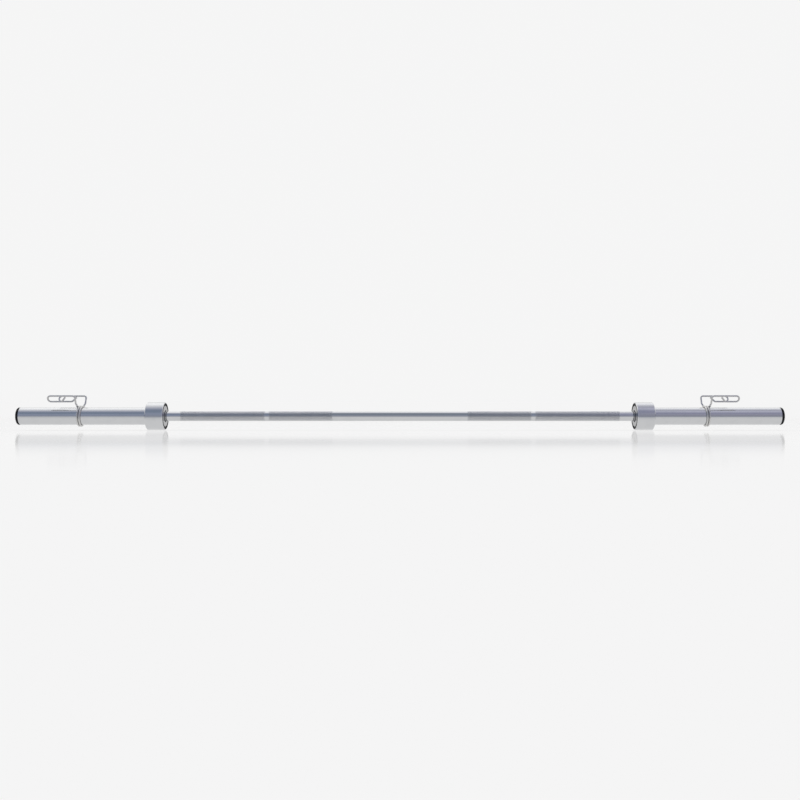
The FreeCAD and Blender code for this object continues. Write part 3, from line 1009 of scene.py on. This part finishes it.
@dataclass
class SpringClip:
    """A wire wound round the sleeve, with a loop handle at each end.

    A handle's post leaves the coil in its root bend, is set along the bar by post_set over set_rise,
    and turns at handle_rise above the coil into a loop that is handle_drop high. The tail comes back
    under the loop, turns up at tail_start from the post and ends tail_gap below the loop's upper run.
    """

    side: Side
    palette: Palette
    wire_radius: float = 0.0025
    coil_radius: float = 0.0278
    coil_pitch: float = 0.0059
    coil_turns: int = 2
    handle_lean: float = math.radians(23)
    root_bend: float = 0.0055
    post_set: float = 0.00256
    set_rise: float = 0.008
    handle_rise: float = 0.0352
    handle_drop: float = 0.0173
    handle_length: float = 0.0778
    top_bend: float = 0.007
    tail_start: float = 0.0388
    tail_slope: float = math.radians(50)
    tail_bend: float = 0.006
    tail_gap: float = 0.0041
    end_rounding: float = 0.0006
    flex_height: float = 0.036
    sharp_angle: float = math.radians(40)

    def build(self) -> None:
        """Builds both parts of the wire; they meet under the sleeve, in the coil's last turn."""
        for handle in Handle:
            bm = self._bend_part(handle)
            name = self.side.node(f"clip_{handle.value}_wire")
            piece = as_piece(bm, name, self.palette.slots[Slot.SPRING_WIRE], self.sharp_angle)
            self.side.node("clip")
            self.side.node(f"{handle.value}_handle")
            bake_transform(piece)
            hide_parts(self.side.node(f"clip_{handle.value}_handle"))
            if handle is Handle.FRONT:
                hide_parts(self.side.node("clip_coil"))

    def _coil_start(self) -> float:
        """Finds where the rear handle leads into the coil.

        Returns:
            The place along the bar.
        """
        low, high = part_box(self.side.node("clip_rear_handle"))
        reach = self.wire_radius + self.post_set
        return low.x + reach if self.side is Side.RIGHT else high.x - reach

    def _bend_part(self, handle: Handle) -> BMesh:
        """Bends one part of the wire.

        Args:
            handle: the handle that this part ends in.

        Returns:
            The finished wire.
        """
        outward = ALONG_BAR * self.side.outward
        rear_angle = -self.handle_lean
        front_angle = self.handle_lean + math.tau * self.coil_turns
        post_angle = front_angle if handle is Handle.FRONT else rear_angle
        meeting_angle = math.tau * self.coil_turns - math.pi
        advance = outward * self.coil_pitch / math.tau
        # The root bend leaves the coil by this angle before the post.
        lead = math.asin(self.root_bend / (self.coil_radius + self.root_bend))
        wound = abs(post_angle - meeting_angle) - lead

        away = outwards_at(meeting_angle)
        start = Vector((self._coil_start(), AXIS.y, AXIS.z))
        start += away * self.coil_radius + advance * (meeting_angle - rear_angle)
        round_axis = ALONG_BAR * handle.winding
        bender = WireBender(self.wire_radius, start, round_axis.cross(away))
        bender.bend(self.coil_radius, wound, -away, advance * handle.winding * wound)
        away = outwards_at(post_angle - handle.winding * lead)
        bender.bend(self.root_bend, math.pi / 2 - lead, away, advance * handle.winding * lead)
        self._set_post(bender, outward * handle.winding)
        self._bend_handle(bender, outward, outwards_at(post_angle))
        return bender.cut(self.end_rounding)

    def _set_post(self, bender: WireBender, towards: Vector) -> None:
        """Sets the post beyond the coil's end with two equal and opposite bends.

        Args:
            bender: the wire, whose end points away from the bar.
            towards: the way along the bar that the post is set.
        """
        angle = 2 * math.atan2(self.post_set, self.set_rise)
        radius = self.set_rise / (2 * math.sin(angle))
        along_post = bender.heading.copy()
        bender.bend(radius, angle, towards)
        bender.bend(radius, angle, along_post * math.sin(angle) - towards * math.cos(angle))

    def _bend_handle(self, bender: WireBender, outward: Vector, away: Vector) -> None:
        """Bends the post, the loop and the tail of a handle.

        Args:
            bender: the wire, whose end stands at the foot of the post.
            outward: the way along the bar to its end.
            away: the way from the bar's axis along the post.
        """
        root_top = math.sqrt((self.coil_radius + self.root_bend) ** 2 - self.root_bend ** 2)
        loop = self.handle_drop / 2
        turn_at = self.handle_length - loop
        tail_tangent = self.tail_bend * math.tan(self.tail_slope / 2)
        tail_rise = self.handle_drop - self.tail_gap
        bender.feed(self.coil_radius + self.handle_rise - self.top_bend - root_top - self.set_rise)
        bender.bend(self.top_bend, math.pi / 2, outward)
        bender.feed(turn_at - self.top_bend)
        bender.bend(loop, math.pi, -away)
        bender.feed(turn_at - self.tail_start - tail_tangent)
        bender.bend(self.tail_bend, self.tail_slope, away)
        bender.feed(tail_rise / math.sin(self.tail_slope) - tail_tangent)


@dataclass(frozen=True)
class SkyBand:
    """Light that comes from one height of the studio.

    Degrees are counted from the viewer's side, level with the bar, over the top to the far side.
    """

    degrees: float
    colour: Colour


FAR_SKY = (SkyBand(154, (0.93, 0.93, 0.93)), SkyBand(180, (0.913, 0.913, 0.913)))


@dataclass(frozen=True)
class MirrorStep:
    """A change of the floor's reflection, over a stretch of the way from the bar."""

    start: float
    stop: float
    change: float


@dataclass
class Studio:
    """Camera, pale floor and soft light.

    The floor scatters light in its colour, the camera sees its tone, and metal sees its glow, which
    is dimmer in front. The sky has bands of its own where the middle of the bar mirrors it and where
    the right end does; the limits of both are the X of a direction. The colours of the bands and of
    the glow were worked out from the shading of the metal in the photograph.
    """

    camera_distance: float = 2.754
    camera_height: float = 0.0866
    lens_mm: float = 43.035
    far_limit: float = 200.0
    floor_half: float = 60.0
    floor_colour: Colour = (0.945, 0.94, 0.925)
    floor_tone: Colour = (0.943, 0.939, 0.927)
    floor_shadow: float = 0.22
    mirror_colour: Colour = (1.0, 1.0, 1.0)
    mirror_share: float = 0.42
    mirror_steps: tuple[MirrorStep, ...] = (
        MirrorStep(0.0, 0.45, 0.65),
        MirrorStep(0.75, 1.05, -0.47),
        MirrorStep(1.5, 2.4, -0.6),
    )
    mirror_power: float = 24.0
    mirror_roughness: float = 0.08
    floor_glow: Colour = (0.955, 0.955, 0.955)
    floor_front_glow: Colour = (0.37, 0.395, 0.47)
    floor_front_start: float = 0.045
    floor_front_stop: float = 0.7
    background: Colour = (0.916, 0.916, 0.916)
    sky_strength: float = 1.5
    sky: tuple[SkyBand, ...] = (
        SkyBand(0, (0.376, 0.409, 0.502)),
        SkyBand(24, (0.38, 0.43, 0.57)),
        SkyBand(34, (0.29, 0.35, 0.46)),
        SkyBand(52, (0.28, 0.332, 0.45)),
        SkyBand(65, (0.5, 0.535, 0.645)),
        SkyBand(76, (0.71, 0.72, 0.82)),
        SkyBand(90, (0.98, 0.99, 1.03)),
        SkyBand(112, (1.5, 1.5, 1.5)),
        SkyBand(136, (1.47, 1.47, 1.47)),
        *FAR_SKY,
    )
    middle_sky: tuple[SkyBand, ...] = (
        SkyBand(0, (0.42, 0.44, 0.52)),
        SkyBand(24, (0.38, 0.42, 0.5)),
        SkyBand(38, (0.29, 0.33, 0.4)),
        SkyBand(64, (0.28, 0.32, 0.38)),
        SkyBand(84, (0.6, 0.63, 0.7)),
        SkyBand(100, (1.1, 1.1, 1.15)),
        SkyBand(120, (1.5, 1.5, 1.5)),
        SkyBand(136, (1.47, 1.47, 1.47)),
        *FAR_SKY,
    )
    middle_start: float = 0.13
    middle_full: float = 0.08
    right_sky: tuple[SkyBand, ...] = (
        SkyBand(0, (0.37, 0.375, 0.46)),
        SkyBand(15, (0.42, 0.425, 0.52)),
        SkyBand(24, (0.45, 0.45, 0.57)),
        SkyBand(36, (0.39, 0.395, 0.54)),
        SkyBand(50, (0.49, 0.495, 0.635)),
        SkyBand(64, (0.74, 0.745, 0.89)),
        SkyBand(78, (0.56, 0.565, 0.69)),
        SkyBand(90, (0.62, 0.625, 0.72)),
        SkyBand(102, (0.85, 0.86, 0.93)),
        SkyBand(115, (1.21, 1.22, 1.27)),
        SkyBand(136, (1.4, 1.4, 1.42)),
        *FAR_SKY,
    )
    right_start: float = 0.19
    right_full: float = 0.235

    def build(self) -> None:
        """Sets up all of the studio."""
        bpy.context.scene.view_settings.view_transform = "Standard"
        self._place_camera()
        self._lay_floor()
        self._light()

    def _place_camera(self) -> None:
        """Places the level camera in front of the middle of the bar."""
        data = bpy.data.cameras.new("camera")
        data.lens = self.lens_mm
        data.clip_end = self.far_limit
        camera = bpy.data.objects.new("camera", data)
        camera.location = (0.0, -self.camera_distance, self.camera_height)
        camera.rotation_euler = (math.pi / 2, 0.0, 0.0)
        bpy.context.scene.collection.objects.link(camera)
        bpy.context.scene.camera = camera

    def _lay_floor(self) -> None:
        """Lays the floor that the collars rest on."""
        bm = bmesh.new()
        bmesh.ops.create_grid(bm, x_segments=1, y_segments=1, size=self.floor_half)
        floor = as_piece(bm, "floor", self._floor_material(), math.pi)

    def _floor_material(self) -> Material:
        """Makes the floor pale, with a faint shadow and reflection; metal sees it plain.

        Returns:
            The floor's material.
        """
        made = bpy.data.materials.new("pale_floor")
        made.cycles.emission_sampling = "NONE"
        graph = Graph.start(made)
        parts = graph.split(graph.add("ShaderNodeTexCoord").outputs["Object"])
        forward = graph.math("MULTIPLY", parts["Y"], -1.0)
        sideways = graph.math("ABSOLUTE", parts["X"])
        matt = graph.shader("ShaderNodeBsdfDiffuse", self.floor_colour)
        path = graph.add("ShaderNodeLightPath").outputs
        unseen = graph.mix(path["Is Glossy Ray"], matt, self._floor_in_metal(graph, forward))
        seen = self._floor_in_view(graph, forward, sideways, matt)
        graph.put_out("ShaderNodeOutputMaterial", graph.mix(path["Is Camera Ray"], unseen, seen))
        return made

    def _floor_in_metal(self, graph: Graph, forward: Value) -> Node:
        """Makes what metal sees of the floor: evenly pale, and dimmer towards the viewer.

        Args:
            graph: the floor's graph.
            forward: distance in front of the bar.

        Returns:
            The shader.
        """
        start, stop = (math.sqrt(limit) for limit in (self.floor_front_start, self.floor_front_stop))
        distance = graph.math("SQRT", graph.math("MAXIMUM", forward, 0.0))
        fade = graph.ease(distance, start, stop)
        return graph.shader("ShaderNodeEmission", graph.tint(fade, self.floor_glow, self.floor_front_glow))

    def _floor_in_view(self, graph: Graph, forward: Value, sideways: Value, matt: Node) -> Node:
        """Makes what the camera sees of the floor; only low views of the floor near the bar mirror it.

        Args:
            graph: the floor's graph.
            forward: distance in front of the bar.
            sideways: distance from the middle of the bar, along it.
            matt: the shader that takes the bar's shadow.

        Returns:
            The shader.
        """
        plain = graph.shader("ShaderNodeEmission", self.floor_tone)
        gloss = graph.shader("ShaderNodeBsdfGlossy", self.mirror_colour)
        graph.feed(gloss.inputs["Roughness"], self.mirror_roughness)
        beyond = graph.math("MAXIMUM", graph.math("SUBTRACT", sideways, CAD_BOX[1].x), 0.0)
        distance = graph.distance(forward, beyond)
        share: Value = self.mirror_share
        for step in self.mirror_steps:
            risen = graph.ease(distance, step.start, step.stop)
            share = graph.math("ADD", share, graph.math("MULTIPLY", risen, step.change))
        facing = graph.add("ShaderNodeLayerWeight").outputs["Facing"]
        mirror = graph.math("MULTIPLY", share, graph.math("POWER", facing, self.mirror_power))
        return graph.mix(mirror, graph.mix(self.floor_shadow, plain, matt), gloss)

    def _light(self) -> None:
        """Lights the bar from a soft overhead sky; the camera sees a plain background."""
        world = bpy.data.worlds.new("studio")
        bpy.context.scene.world = world
        graph = Graph.start(world)
        parts = graph.split(graph.add("ShaderNodeTexCoord").outputs["Generated"])
        nearer = graph.math("MULTIPLY", parts["Y"], -1.0)
        angle = graph.math("ARCTAN2", parts["Z"], nearer)
        height = graph.math("DIVIDE", angle, math.pi)
        from_middle = graph.math("ABSOLUTE", parts["X"])
        aside = graph.ease(from_middle, self.middle_full, self.middle_start)
        to_right = graph.ease(parts["X"], self.right_start, self.right_full)
        colour = graph.tint(aside, self._bands(graph, height, self.middle_sky),
                            self._bands(graph, height, self.sky))
        colour = graph.tint(to_right, colour, self._bands(graph, height, self.right_sky))
        sky = graph.shader("ShaderNodeBackground", colour)
        graph.feed(sky.inputs["Strength"], self.sky_strength)
        plain = graph.shader("ShaderNodeBackground", self.background)
        seen = graph.add("ShaderNodeLightPath").outputs["Is Camera Ray"]
        graph.put_out("ShaderNodeOutputWorld", graph.mix(seen, sky, plain))

    def _bands(self, graph: Graph, height: Value, bands: tuple[SkyBand, ...]) -> NodeSocket:
        """Blends bands of light into one sky.

        Args:
            graph: the world's graph.
            height: 0 at the viewer's side, 1 at the far side.
            bands: the bands, in that order.

        Returns:
            The light's colour, divided by the sky's strength.
        """
        node = graph.add("ShaderNodeValToRGB")
        graph.feed(node.inputs[0], height)
        stops = node.color_ramp.elements
        while len(stops) < len(bands):
            stops.new(1.0)
        for stop, band in zip(stops, bands):
            stop.position = math.radians(band.degrees) / math.pi
            stop.color = (*(part / self.sky_strength for part in band.colour), 1.0)
        return node.outputs[0]


def main() -> None:
    """Builds the studio and every sub-assembly of the bar."""
    logging.basicConfig(level=logging.INFO, format="%(message)s")
    Studio().build()
    palette = Palette()
    KnurledShaft(palette).build()
    for side in Side:
        RotatingSleeve(side, palette).build()
        SpringClip(side, palette).build()


if __name__ == "__main__":
    main()
